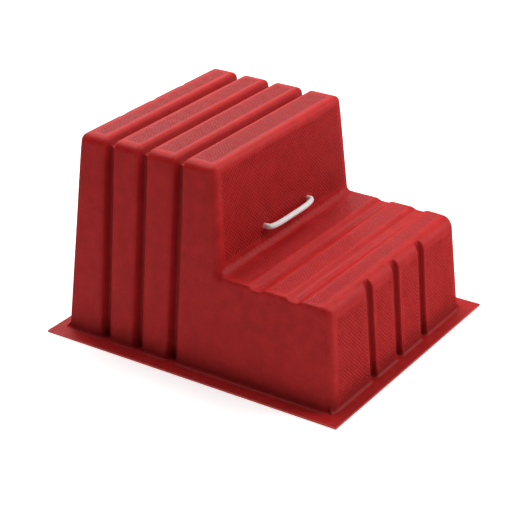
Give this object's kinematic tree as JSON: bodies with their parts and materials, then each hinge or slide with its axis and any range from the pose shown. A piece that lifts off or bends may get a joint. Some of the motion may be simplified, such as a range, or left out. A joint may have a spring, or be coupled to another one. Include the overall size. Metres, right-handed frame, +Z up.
{
  "type": "mounting block",
  "caption": "Two-tread moulded plastic mounting block, hollow and open underneath, with grooved non-slip treads, a ground flange and a swinging rope carry handle",
  "frame": {"origin": "middle of the flange's underside, on the ground", "axes": "+X across the width, +Y from the lower tread towards the upper tread, +Z up"},
  "size_m": [0.638, 0.738, 0.46],
  "materials": {
    "red_plastic": "thermoformed polyethylene sheet, satin, with a fine knurled non-slip grain on treads and risers and a smooth skin on sides, back and flange",
    "white_rope": "braided polypropylene cord, slightly fuzzy"
  },
  "bodies": {
    "block": {"moulded_shell": "red_plastic", "rope_end_left": "white_rope", "rope_end_right": "white_rope"},
    "handle": {"rope_grip": "white_rope"}
  },
  "joints": [
    {"name": "handle_swing", "type": "hinge", "parent": "block", "child": "handle", "pos_m": [0, -0.05527, 0.27515], "axis": [-1, 0, 0], "range_deg": [-60, 100]}
  ]
}
